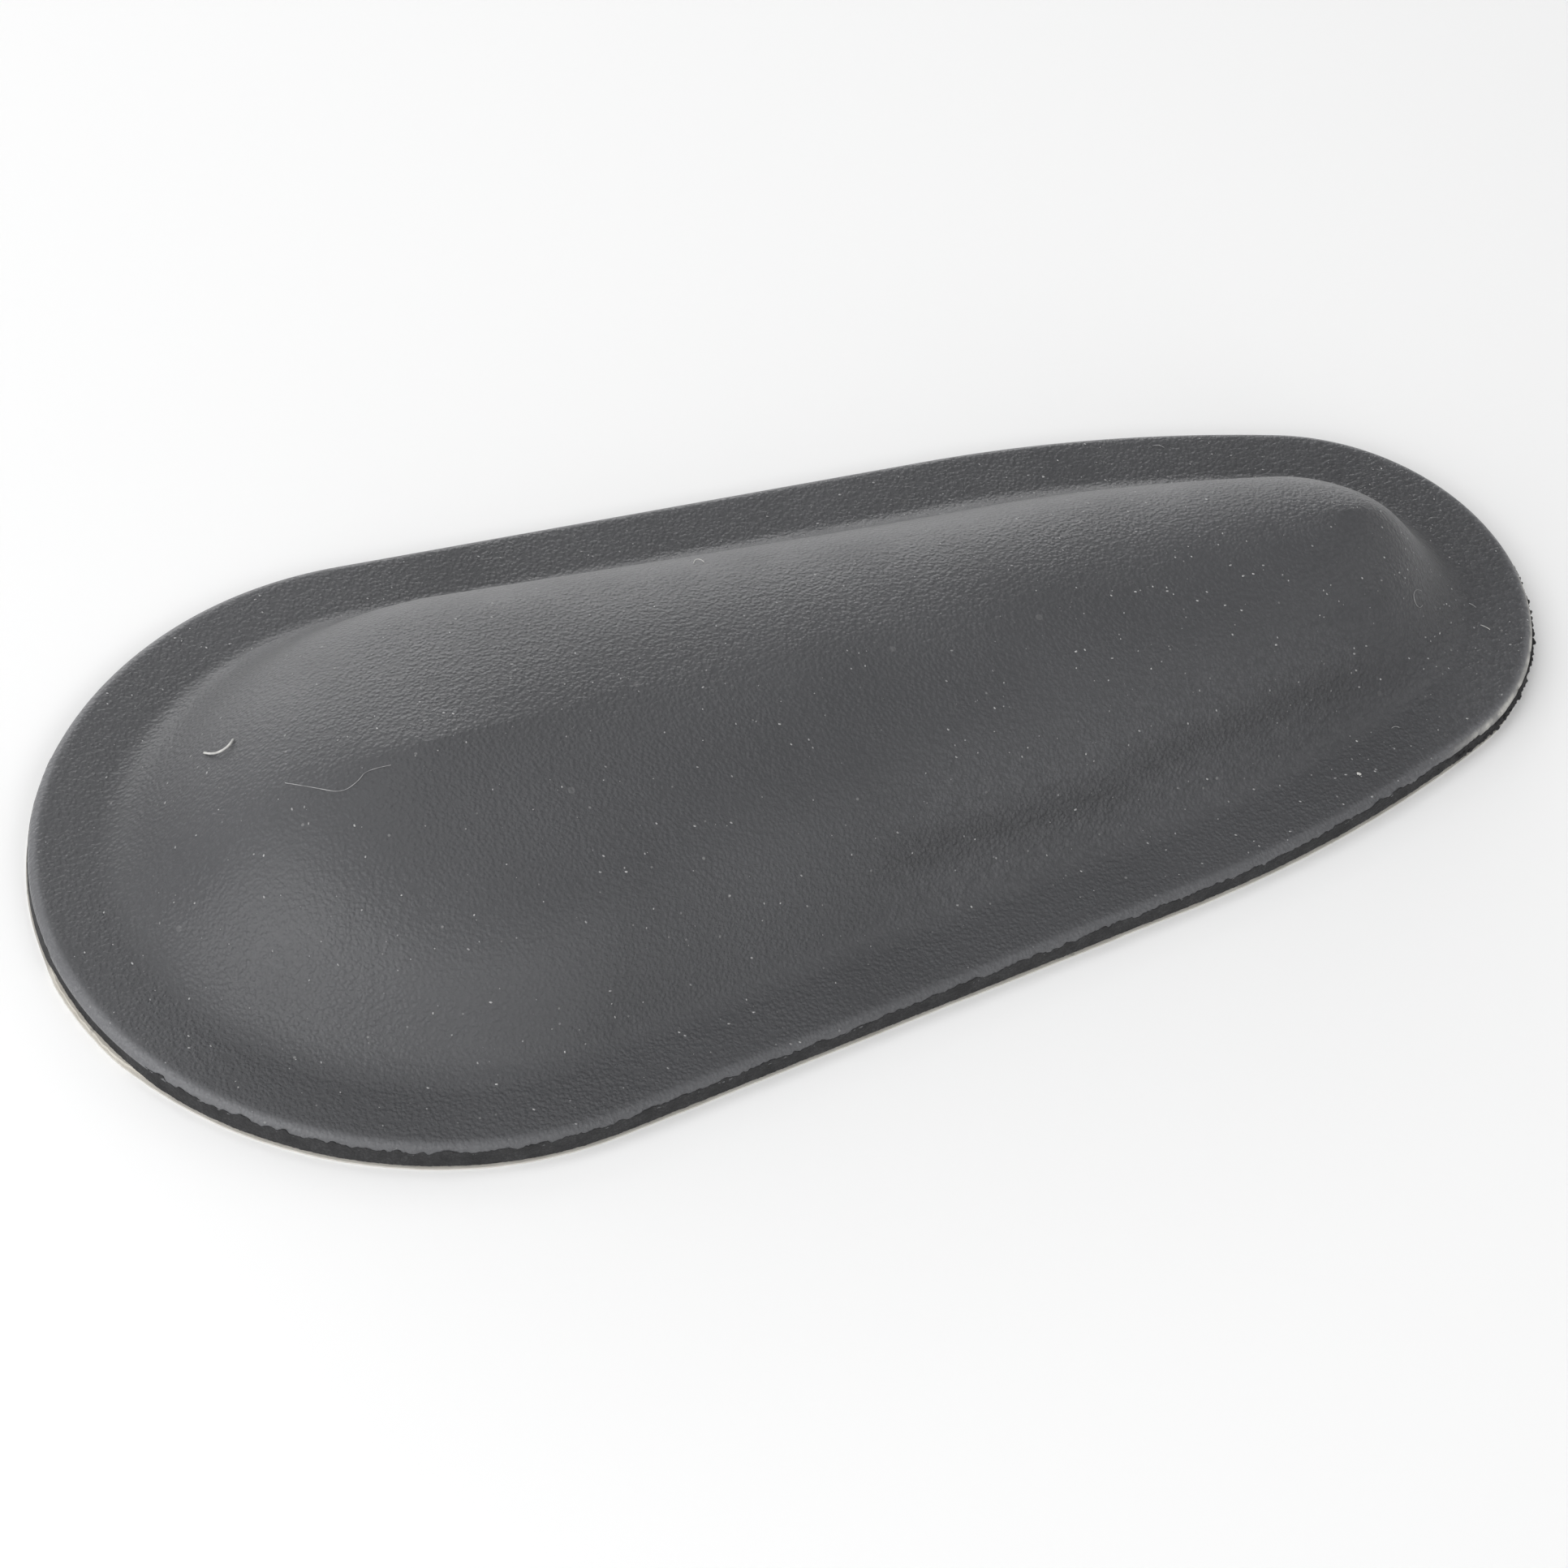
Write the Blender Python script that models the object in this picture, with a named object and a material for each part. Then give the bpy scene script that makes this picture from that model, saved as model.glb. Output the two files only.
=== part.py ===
"""Stick-on cushion pad for a car interior.

A foam cushion with a leatherette cover. The cover is pressed to a flat border
all round, and the border lies on a thin foam base sheet. A sheet of
double-sided tape under the base is closed by a paper release liner.

The pad lies flat. X is its length, with the narrow nose at +X and the broad
heel at -X. Z is up, and the origin is on the underside, at the middle of the
length and width.
"""

import math

import bmesh
import bpy
from mathutils import Vector

# Outline, seen from above
LENGTH = 0.180
WIDTH = 0.082
HEEL_RADIUS = 0.0384
HEEL_SPAN = math.radians(42.0)
NOSE_RADIUS = 0.0263
NOSE_SPAN = math.radians(70.0)
SIDE_RADIUS = 0.171

# Layers, from the bottom up
LINER_THICKNESS = 0.0002
TAPE_THICKNESS = 0.0003
BASE_THICKNESS = 0.0011
COVER_THICKNESS = 0.0012
LAYER_GAP = 0.00025
COVER_TO_FOAM_GAP = 0.0003

# Edge of the layers
RIM_RADIUS = 0.0011
LINER_OVERHANG = 0.0003
TAPE_SET_BACK = 0.0004
BASE_SET_BACK = 0.0001

# Raised cushion
BORDER_WIDTH = 0.0068
CROWN_FOOT_ROUNDING = 0.0140
WALL_FOOT_ROUNDING = 0.0060
SIDE_WALL_REACH = 0.0056
NOSE_WALL_REACH = 0.0090
HEEL_WALL_REACH = 0.0105
WALL_SHARPNESS = 1.4
WALL_RISE = 0.0093
CROWN_RISE_HEEL = 0.0075
CROWN_RISE_NOSE = 0.0045
HEEL_END_TO_RIDGE = 0.044
NOSE_END_TO_RIDGE = 0.026
END_SHAPE_POWER = 2.0

# The foam core begins where the cushion has risen this much
FOAM_START_RISE = 0.0016

# Fineness of the faceting
NOSE_STEPS = 10
SIDE_CURVE_STEPS = 4
SIDE_STRAIGHT_STEPS = 7
TAPER_END_STEPS = 1
HEEL_SHOULDER_STEPS = 7
HEEL_TIP_STEPS = 5
RIM_STEPS = 4
COVER_TOP_STEPS = 16
COVER_UNDER_STEPS = 12
FOAM_STEPS = 11
SLOPE_STEP = 0.0001


def clear_scene():
    for item in list(bpy.data.objects):
        bpy.data.objects.remove(item, do_unlink=True)


def make_material(name, colour, roughness):
    material = bpy.data.materials.new(name)
    material.use_nodes = True
    shader = material.node_tree.nodes["Principled BSDF"]
    shader.inputs["Base Color"].default_value = (*colour, 1.0)
    shader.inputs["Roughness"].default_value = roughness
    shader.inputs["Metallic"].default_value = 0.0
    material.diffuse_color = (*colour, 1.0)
    return material


def leatherette():
    return make_material("grey_leatherette", (0.066, 0.067, 0.071), 0.52)


def cushion_foam():
    return make_material("soft_cushion_foam", (0.045, 0.045, 0.047), 0.95)


def base_foam():
    return make_material("black_base_foam", (0.026, 0.026, 0.027), 0.90)


def tape():
    return make_material("double_sided_tape", (0.62, 0.58, 0.50), 0.60)


def liner_paper():
    return make_material("release_liner_paper", (0.74, 0.72, 0.67), 0.55)


def direction(angle):
    return Vector((math.cos(angle), math.sin(angle)))


def arc(centre, radius, start, end, steps):
    """Points and outward normals of an arc, without its last point."""
    spokes = []
    for step in range(steps):
        normal = direction(start + (end - start) * step / steps)
        spokes.append((centre + radius * normal, normal))
    return spokes


def side_tangent_angle(heel_centre, heel_radius, side_centre):
    """Angle of the normal of the straight line that touches both curves."""
    between = heel_centre - side_centre
    turn = math.acos((SIDE_RADIUS - heel_radius) / between.length)
    return math.atan2(between.y, between.x) - turn


def half_outline():
    """One half of the outline, from the nose's tip to the heel's tip."""
    nose_centre = Vector((LENGTH / 2 - NOSE_RADIUS, 0.0))
    side_centre = nose_centre + (NOSE_RADIUS - SIDE_RADIUS) * direction(NOSE_SPAN)
    heel_centre = Vector((HEEL_RADIUS - LENGTH / 2, 0.0))
    across = math.sin(HEEL_SPAN)
    shoulder_radius = (WIDTH / 2 - HEEL_RADIUS * across) / (1.0 - across)
    heel_turn = math.pi - HEEL_SPAN
    offset = HEEL_RADIUS - shoulder_radius
    shoulder_centre = heel_centre + offset * direction(heel_turn)
    side_turn = side_tangent_angle(shoulder_centre, shoulder_radius, side_centre)

    spokes = arc(nose_centre, NOSE_RADIUS, 0.0, NOSE_SPAN, NOSE_STEPS)
    spokes += arc(side_centre, SIDE_RADIUS, NOSE_SPAN, side_turn, SIDE_CURVE_STEPS)
    normal = direction(side_turn)
    start = side_centre + SIDE_RADIUS * normal
    end = shoulder_centre + shoulder_radius * normal
    for step in range(SIDE_STRAIGHT_STEPS):
        spokes.append((start.lerp(end, step / SIDE_STRAIGHT_STEPS), normal))
    widest = math.pi / 2
    if side_turn < widest:
        spokes += arc(shoulder_centre, shoulder_radius, side_turn, widest, TAPER_END_STEPS)
        side_turn = widest
    spokes += arc(shoulder_centre, shoulder_radius, side_turn, heel_turn, HEEL_SHOULDER_STEPS)
    spokes += arc(heel_centre, HEEL_RADIUS, heel_turn, math.pi, HEEL_TIP_STEPS)
    spokes.append((Vector((-LENGTH / 2, 0.0)), Vector((-1.0, 0.0))))
    return spokes


def mirrored(vector):
    return Vector((vector.x, -vector.y))


def full_outline():
    half = half_outline()
    other = [(mirrored(point), mirrored(normal)) for point, normal in reversed(half[1:-1])]
    return half + other


def rounded(distance, rounding):
    """A distance that starts to count softly, over this much rounding."""
    return math.hypot(distance, rounding) - rounding


class Spoke:
    """One upright cut of the pad, from the rim to the ridge line on the X axis."""

    def __init__(self, rim, normal):
        self.rim = rim
        self.normal = normal
        self.foot = rim - BORDER_WIDTH * normal
        share = rim.x / LENGTH + 0.5
        ridge_start = HEEL_END_TO_RIDGE - LENGTH / 2
        ridge_end = LENGTH / 2 - NOSE_END_TO_RIDGE
        self.ridge = Vector((ridge_start + (ridge_end - ridge_start) * share, 0.0))
        self.run = (self.ridge - self.foot).length
        self.inward = (self.ridge - self.foot) / self.run
        heel_share = max(0.0, -normal.x) ** END_SHAPE_POWER
        nose_share = max(0.0, normal.x) ** END_SHAPE_POWER
        self.reach = SIDE_WALL_REACH
        self.reach += (NOSE_WALL_REACH - SIDE_WALL_REACH) * nose_share
        self.reach += (HEEL_WALL_REACH - SIDE_WALL_REACH) * heel_share
        self.crown = CROWN_RISE_HEEL + (CROWN_RISE_NOSE - CROWN_RISE_HEEL) * share

    def rise(self, along):
        """Height of the cushion over the border, this far in from the foot."""
        crown_share = rounded(along, CROWN_FOOT_ROUNDING) / rounded(self.run, CROWN_FOOT_ROUNDING)
        left = (1.0 - crown_share) ** 2
        wall_share = rounded(along, WALL_FOOT_ROUNDING) / self.reach
        wall = 1.0 - left * math.exp(-(wall_share ** WALL_SHARPNESS))
        return WALL_RISE * wall + self.crown * (1.0 - left)

    def at_ridge(self, along):
        return self.run - along < 0.0000001

    def slope(self, along):
        if along <= 0.0 or self.at_ridge(along):
            return 0.0
        before = max(0.0, along - SLOPE_STEP)
        after = min(self.run, along + SLOPE_STEP)
        return (self.rise(after) - self.rise(before)) / (after - before)

    def start_of(self, wanted_rise):
        """How far in from the foot the cushion has risen this much."""
        low = 0.0
        high = self.run
        for _ in range(40):
            middle = (low + high) / 2
            if self.rise(middle) < wanted_rise:
                low = middle
            else:
                high = middle
        return high

    def under(self, along, depth):
        """A point this deep below the cushion's surface, square to it."""
        slope = self.slope(along)
        length = math.hypot(1.0, slope)
        flat = self.foot + (along + depth * slope / length) * self.inward
        if self.at_ridge(along):
            flat = self.ridge
        height = border_top() + self.rise(along) - depth / length
        return Vector((flat.x, flat.y, height))

    def inset(self, distance, height):
        flat = self.rim - distance * self.normal
        return Vector((flat.x, flat.y, height))


def tape_bottom():
    return LINER_THICKNESS + LAYER_GAP


def base_bottom():
    return tape_bottom() + TAPE_THICKNESS + LAYER_GAP


def cover_bottom():
    return base_bottom() + BASE_THICKNESS + LAYER_GAP


def border_top():
    return cover_bottom() + COVER_THICKNESS


def foam_bottom():
    return base_bottom() + BASE_THICKNESS + LAYER_GAP


def add_body(name, rings, close_start, close_end, material):
    """A closed body through rings of points that all have the same count.

    An open first or last ring is closed by one flat face, and a ring that has
    shrunk to a line is sewn together instead.
    """
    count = len(rings[0])
    points = [point for ring in rings for point in ring]
    faces = []
    for level in range(len(rings) - 1):
        lower = level * count
        upper = lower + count
        for i in range(count):
            j = (i + 1) % count
            faces.append((lower + i, lower + j, upper + j, upper + i))
    if close_start:
        faces.append(tuple(reversed(range(count))))
    if close_end:
        last = (len(rings) - 1) * count
        faces.append(tuple(last + i for i in range(count)))
    mesh = bpy.data.meshes.new(name)
    mesh.from_pydata([tuple(point) for point in points], [], faces)
    sew(mesh)
    mesh.shade_smooth()
    mesh.set_sharp_from_angle(angle=math.radians(35.0))
    mesh.materials.append(material)
    body = bpy.data.objects.new(name, mesh)
    bpy.context.scene.collection.objects.link(body)
    return body


def sew(mesh):
    """Joins the points that meet on the ridge line and cuts the faces into triangles."""
    work = bmesh.new()
    work.from_mesh(mesh)
    bmesh.ops.remove_doubles(work, verts=work.verts, dist=0.000002)
    bmesh.ops.triangulate(work, faces=work.faces)
    work.to_mesh(mesh)
    work.free()


def shares_of_run(steps):
    """Shares from 0 to 1 that lie closer together near both ends."""
    evenly = [step / steps for step in range(steps + 1)]
    return [share * share * (3.0 - 2.0 * share) for share in evenly]


def cover_rings(spokes):
    bottom = cover_bottom()
    top = border_top()
    rings = []
    for share in reversed(shares_of_run(COVER_UNDER_STEPS)):
        rings.append([s.under(share * s.run, COVER_THICKNESS) for s in spokes])
    rings.append([s.inset(BORDER_WIDTH / 2, bottom) for s in spokes])
    rings.append([s.inset(0.0, bottom) for s in spokes])
    for step in range(RIM_STEPS + 1):
        turn = math.pi / 2 * step / RIM_STEPS
        inset = RIM_RADIUS * (1.0 - math.cos(turn))
        height = top - RIM_RADIUS * (1.0 - math.sin(turn))
        rings.append([s.inset(inset, height) for s in spokes])
    rings.append([s.inset(BORDER_WIDTH * 0.7, top) for s in spokes])
    for share in shares_of_run(COVER_TOP_STEPS):
        rings.append([s.under(share * s.run, 0.0) for s in spokes])
    return rings


def foam_rings(spokes):
    depth = COVER_THICKNESS + COVER_TO_FOAM_GAP
    upper = []
    for share in shares_of_run(FOAM_STEPS):
        ring = []
        for s in spokes:
            start = s.start_of(FOAM_START_RISE)
            ring.append(s.under(start + (s.run - start) * share, depth))
        upper.append(ring)
    lowest = [Vector((point.x, point.y, foam_bottom())) for point in upper[0]]
    return [lowest] + upper


def sheet_rings(spokes, bottom, thickness, set_back):
    return [[s.inset(set_back, height) for s in spokes] for height in (bottom, bottom + thickness)]


def build_cover(spokes):
    return add_body("cover_skin", cover_rings(spokes), False, False, leatherette())


def build_foam(spokes):
    return add_body("foam_insert", foam_rings(spokes), True, False, cushion_foam())


def build_base(spokes):
    rings = sheet_rings(spokes, base_bottom(), BASE_THICKNESS, BASE_SET_BACK)
    return add_body("base_sheet", rings, True, True, base_foam())


def build_tape(spokes):
    rings = sheet_rings(spokes, tape_bottom(), TAPE_THICKNESS, TAPE_SET_BACK)
    return add_body("adhesive_sheet", rings, True, True, tape())


def build_liner(spokes):
    rings = sheet_rings(spokes, 0.0, LINER_THICKNESS, -LINER_OVERHANG)
    return add_body("release_liner", rings, True, True, liner_paper())


def main():
    clear_scene()
    spokes = [Spoke(point, normal) for point, normal in full_outline()]
    build_liner(spokes)
    build_tape(spokes)
    build_base(spokes)
    build_foam(spokes)
    build_cover(spokes)


main()
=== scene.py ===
"""Looks of the stick-on cushion pad.

A leatherette cover is moulded over a foam core and pressed to a flat border.
Under it lie a thin foam sheet with a torn, die-cut edge, a sheet of
double-sided tape and a paper release liner.
"""

import math

import bmesh
import bpy
import numpy as np
from mathutils import Matrix, Vector, noise


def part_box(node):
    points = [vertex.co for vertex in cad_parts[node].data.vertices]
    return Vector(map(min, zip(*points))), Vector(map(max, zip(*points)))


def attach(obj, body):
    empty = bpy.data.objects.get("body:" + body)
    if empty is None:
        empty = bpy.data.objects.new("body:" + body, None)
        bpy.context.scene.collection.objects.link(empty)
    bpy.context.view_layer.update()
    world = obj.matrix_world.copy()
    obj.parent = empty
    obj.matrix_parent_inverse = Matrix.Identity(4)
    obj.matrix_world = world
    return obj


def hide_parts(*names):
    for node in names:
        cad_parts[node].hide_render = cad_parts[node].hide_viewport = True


MM = 0.001

# Outline of the pad, seen from above
HEEL_RADIUS = 38.4 * MM
HEEL_SPAN = math.radians(42.0)
NOSE_RADIUS = 26.3 * MM
NOSE_SPAN = math.radians(70.0)
SIDE_RADIUS = 171.0 * MM

# Raised cushion
BORDER_WIDTH = 6.8 * MM
CROWN_FOOT_ROUNDING = 14.0 * MM
WALL_FOOT_ROUNDING = 6.0 * MM
SIDE_WALL_REACH = 5.6 * MM
NOSE_WALL_REACH = 9.0 * MM
HEEL_WALL_REACH = 10.5 * MM
WALL_SHARPNESS = 1.4
WALL_RISE = 9.3 * MM
CROWN_RISE_HEEL = 7.5 * MM
CROWN_RISE_NOSE = 4.5 * MM
HEEL_END_TO_RIDGE = 44.0 * MM
NOSE_END_TO_RIDGE = 26.0 * MM
END_SHAPE_POWER = 2.0
COVER_THICKNESS = 1.2 * MM
RIM_RADIUS = 1.15 * MM

# Fineness of the finished meshes
COVER_SPACING = 0.6 * MM
EDGE_SPACING = 0.16 * MM
SHEET_SPACING = 0.64 * MM
COVER_TOP_STEPS = 56
COVER_UNDER_STEPS = 16
RIM_STEPS = 8
TORN_EDGE_STEPS = 11
SLOPE_STEP = 0.05 * MM
SHARP_ANGLE = math.radians(35.0)
SEWN_WITHIN = 0.002 * MM

# Thin gap kept open between a layer and the one beside it
HAIRLINE = 0.02 * MM

# Marks on the cover
GRAIN_DEPTH = 0.12 * MM
GRAINS_PER_METRE = 2100.0
WRINKLES_PER_METRE = 1700.0
SCUFF_LINES = (
    ((-9 * MM, -23.8 * MM), (34 * MM, -21.2 * MM)),
    ((20 * MM, -22.0 * MM), (68 * MM, -14.6 * MM)),
)
SCUFF_REACH = 1.5 * MM
SCUFF_DEPTH = 0.15 * MM
ROUGHENED_REACH = 5.5 * MM
# Where along the pad the pale edge at the nose's lower rim begins and is full: cloth backing showing,
# and partly a painted highlight of the lit rim
PALE_EDGE_FROM = 64.0 * MM
PALE_EDGE_FULL = 79.0 * MM

# Torn edge of the foam sheet
FOAM_DROOP = 0.20 * MM
FOAM_SWELL = 0.42 * MM
FOAM_TEAR = 0.38 * MM
FOAM_TUCK = 0.12 * MM

# Tape and liner: how far the cut edge is set back, how much it wanders, and how far it peels
TAPE_EDGE = (0.35 * MM, 0.10 * MM, 0.55 * MM)
LINER_EDGE = (-0.12 * MM, 0.05 * MM, 0.25 * MM)

# Scattered bits: how many per square metre, smallest and largest, flatness, seed
DUST_FLECKS = (130000.0, 0.035 * MM, 0.12 * MM, 0.5, 11)
FOAM_CRUMBS = (1500000.0, 0.09 * MM, 0.32 * MM, 0.9, 3)

# Colours
LEATHER_DARK = (0.060, 0.061, 0.065)
LEATHER_LIGHT = (0.072, 0.073, 0.078)
# Lighter colour on the rounded rim, a painted highlight
RIM_PAINTED_HIGHLIGHT = (0.155, 0.157, 0.165)
# Darker colour in the grain hollows, painted shade
GRAIN_HOLLOW_SHADE = (0.022, 0.022, 0.024)
CHALKY_GREY = (0.14, 0.14, 0.145)
# Darker colour along the crease lines, painted shade
CREASE_SHADE = (0.030, 0.030, 0.032)
FINE_DUST = (0.26, 0.26, 0.26)
# Faint pale spots where small pimples catch the light, a painted highlight
PIMPLE_HIGHLIGHT = (0.30, 0.30, 0.30)
# Pale warm colour at the nose's lower rim: cloth backing showing, and partly a painted highlight of
# the brightly lit rim
BACKING_AND_RIM_HIGHLIGHT = (0.52, 0.51, 0.48)
# Foam colours: darker in the cell hollows and lighter on the cell tops, partly painted shade and
# light, and partly random tone
FOAM_DARK = (0.016, 0.016, 0.017)
FOAM_LIGHT = (0.060, 0.060, 0.062)
TAPE_LIGHT = (0.62, 0.60, 0.54)
TAPE_DARK = (0.46, 0.43, 0.38)
PAPER_LIGHT = (0.66, 0.64, 0.60)
PAPER_DARK = (0.52, 0.50, 0.46)
SHEET_FLECK = (0.25, 0.24, 0.22)
LINT_LIGHT = (0.66, 0.65, 0.62)
LINT_DARK = (0.40, 0.40, 0.39)
DUST_LIGHT = (0.50, 0.50, 0.50)
DUST_DARK = (0.16, 0.16, 0.165)
FLOOR_WHITE = (0.91, 0.91, 0.91)

# Camera: where it stands about the pad, what it looks at and how far off it is
CAMERA_AZIMUTH = math.radians(-33.4)
CAMERA_ELEVATION = math.radians(49.2)
CAMERA_ROLL = math.radians(10.8)
CAMERA_TARGET = (-5.4 * MM, -3.1 * MM, 0.0)
CAMERA_DISTANCE = 532.0 * MM
CAMERA_LENS = 110.0
CAMERA_SENSOR = 36.0

# Studio lights: name, azimuth and elevation in degrees, width and height in metres, watts
AMBIENT = 0.2
LIGHT_DISTANCE = 1.0
FLOOR_SIZE = 4.0
SOFT_BOXES = (
    ("back_low", 12, 8, (1.1, 0.35), 3.6),
    ("back_mid", 347, 25, (1.3, 0.40), 2.25),
    ("left_low", 262, 8, (0.6, 0.35), 1.0),
    ("left_mid", 262, 25, (1.0, 0.45), 3.8),
    ("left_high", 262, 50, (1.0, 0.5), 2.9),
    ("right_mid", 88, 25, (0.6, 0.45), 0.9),
    ("front_low", 165, 8, (0.6, 0.35), 1.2),
    ("front_mid", 205, 28, (0.9, 0.45), 2.2),
    ("front_high", 160, 50, (0.9, 0.5), 1.7),
    ("top", 0, 75, (0.6, 0.6), 1.8),
)

# A fibre thicker than this, in millimetres, is pale lint, and a thinner one is grey dust
PALE_FIBRE_FROM = 0.075

# Lint fibres: points as x, y and lift above the cover, all in millimetres, then the thickness
FIBRES = (
    (((-67.8, 13.6, 0.1), (-67.5, 12.2, 0.3), (-66.6, 11.4, 0.5), (-65.6, 11.8, 0.3),
      (-65.1, 12.4, 0.1)), 0.26),
    (((-63.3, 2.3, 0.0), (-61.0, -0.2, 0.1), (-58.8, -2.2, 0.0), (-56.7, -1.7, 0.1),
      (-55.6, -0.8, 0.1), (-53.0, -1.3, 0.0)), 0.07),
    (((72.4, -8.2, 0.0), (71.2, -8.3, 0.1), (70.3, -9.4, 0.1), (71.0, -10.3, 0.1),
      (71.9, -9.6, 0.0)), 0.06),
    (((80.9, -7.4, 0.0), (81.2, -7.8, 0.1), (81.4, -8.2, 0.0)), 0.06),
    (((80.5, -10.8, 0.0), (80.9, -11.3, 0.1), (81.2, -11.8, 0.0)), 0.08),
    (((-8.5, 18.4, 0.0), (-8.0, 19.2, 0.2), (-7.4, 18.7, 0.2), (-7.5, 17.9, 0.1)), 0.08),
    (((57.1, 27.3, 0.0), (57.9, 27.3, 0.1), (58.3, 26.6, 0.0)), 0.06),
    (((63.3, -21.4, 0.0), (62.9, -21.0, 0.1), (62.4, -21.2, 0.0)), 0.06),
    (((55.4, -26.2, 0.0), (55.3, -26.0, 0.1), (55.1, -25.9, 0.0)), 0.30),
)


# ---------------------------------------------------------------- outline


def direction(angle):
    return np.array((math.cos(angle), math.sin(angle)))


class Outline:
    """The pad's outline as arcs and straight lines, with its outward normals."""

    def __init__(self, length, width):
        self.length = length
        self.width = width
        self.parts = self.half_parts()

    def half_parts(self):
        nose = np.array((self.length / 2 - NOSE_RADIUS, 0.0))
        side = nose + (NOSE_RADIUS - SIDE_RADIUS) * direction(NOSE_SPAN)
        heel = np.array((HEEL_RADIUS - self.length / 2, 0.0))
        across = math.sin(HEEL_SPAN)
        shoulder_radius = (self.width / 2 - HEEL_RADIUS * across) / (1.0 - across)
        heel_turn = math.pi - HEEL_SPAN
        shoulder = heel + (HEEL_RADIUS - shoulder_radius) * direction(heel_turn)
        between = shoulder - side
        turn = math.acos((SIDE_RADIUS - shoulder_radius) / np.linalg.norm(between))
        side_turn = math.atan2(between[1], between[0]) - turn
        return [
            (nose, NOSE_RADIUS, 0.0, NOSE_SPAN),
            (side, SIDE_RADIUS, NOSE_SPAN, side_turn),
            (side, SIDE_RADIUS, side_turn, side_turn),
            (shoulder, shoulder_radius, side_turn, heel_turn),
            (heel, HEEL_RADIUS, heel_turn, math.pi),
        ]

    def walk(self, spacing):
        """Points and normals all round, about this far apart."""
        points, normals = [], []
        for index, (centre, radius, start, end) in enumerate(self.parts):
            if start == end:
                first = centre + radius * direction(start)
                after = self.parts[index + 1]
                last = after[0] + after[1] * direction(after[2])
                count = max(1, round(np.linalg.norm(last - first) / spacing))
                for step in range(count):
                    points.append(first + (last - first) * step / count)
                    normals.append(direction(start))
                continue
            count = max(1, round(radius * (end - start) / spacing))
            for step in range(count):
                normal = direction(start + (end - start) * step / count)
                points.append(centre + radius * normal)
                normals.append(normal)
        points.append(np.array((-self.length / 2, 0.0)))
        normals.append(np.array((-1.0, 0.0)))
        points, normals = np.array(points), np.array(normals)
        other = np.array((1.0, -1.0))
        points = np.vstack((points, points[-2:0:-1] * other))
        normals = np.vstack((normals, normals[-2:0:-1] * other))
        return points, normals


def level_ring(flat, height):
    """Points seen from above, all lifted to one height."""
    return np.column_stack((flat, np.full(len(flat), height)))


def rounded(distance, rounding):
    """A distance that starts to count softly, over this much rounding."""
    return np.hypot(distance, rounding) - rounding


class Cushion:
    """The upper surface of the cover over every point of the outline."""

    def __init__(self, outline, spacing, border_top):
        self.rim, self.normal = outline.walk(spacing)
        self.border_top = border_top
        self.foot = self.rim - BORDER_WIDTH * self.normal
        share = self.rim[:, 0] / outline.length + 0.5
        ridge_start = HEEL_END_TO_RIDGE - outline.length / 2
        ridge_end = outline.length / 2 - NOSE_END_TO_RIDGE
        ridge_x = ridge_start + (ridge_end - ridge_start) * share
        self.ridge = np.stack((ridge_x, np.zeros_like(ridge_x)), axis=1)
        self.run = np.linalg.norm(self.ridge - self.foot, axis=1)
        self.inward = (self.ridge - self.foot) / self.run[:, None]
        heel_share = np.clip(-self.normal[:, 0], 0, 1) ** END_SHAPE_POWER
        nose_share = np.clip(self.normal[:, 0], 0, 1) ** END_SHAPE_POWER
        self.reach = SIDE_WALL_REACH + (NOSE_WALL_REACH - SIDE_WALL_REACH) * nose_share
        self.reach += (HEEL_WALL_REACH - SIDE_WALL_REACH) * heel_share
        self.crown = CROWN_RISE_HEEL + (CROWN_RISE_NOSE - CROWN_RISE_HEEL) * share

    def rise(self, along):
        """Height of the cushion over the border, this far in from its foot."""
        crown_share = rounded(along, CROWN_FOOT_ROUNDING) / rounded(self.run, CROWN_FOOT_ROUNDING)
        left = (1.0 - crown_share) ** 2
        wall_share = rounded(along, WALL_FOOT_ROUNDING) / self.reach
        wall = 1.0 - left * np.exp(-(wall_share**WALL_SHARPNESS))
        return WALL_RISE * wall + self.crown * (1.0 - left)

    def ring(self, share, depth=0.0):
        """A ring of points this share of the way from the foot to the ridge."""
        along = share * self.run
        before = np.clip(along - SLOPE_STEP, 0, None)
        after = np.minimum(along + SLOPE_STEP, self.run)
        slope = (self.rise(after) - self.rise(before)) / (after - before)
        if share <= 0.0 or share >= 1.0:
            slope = np.zeros_like(along)
        length = np.hypot(1.0, slope)
        flat = self.foot + (along + depth * slope / length)[:, None] * self.inward
        height = self.border_top + self.rise(along) - depth / length
        return np.column_stack((flat, height))

    def inset(self, distance, height):
        """A ring of points at one height, this far in from the rim."""
        return level_ring(self.rim - distance * self.normal, height)


# ---------------------------------------------------------------- meshes


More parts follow.
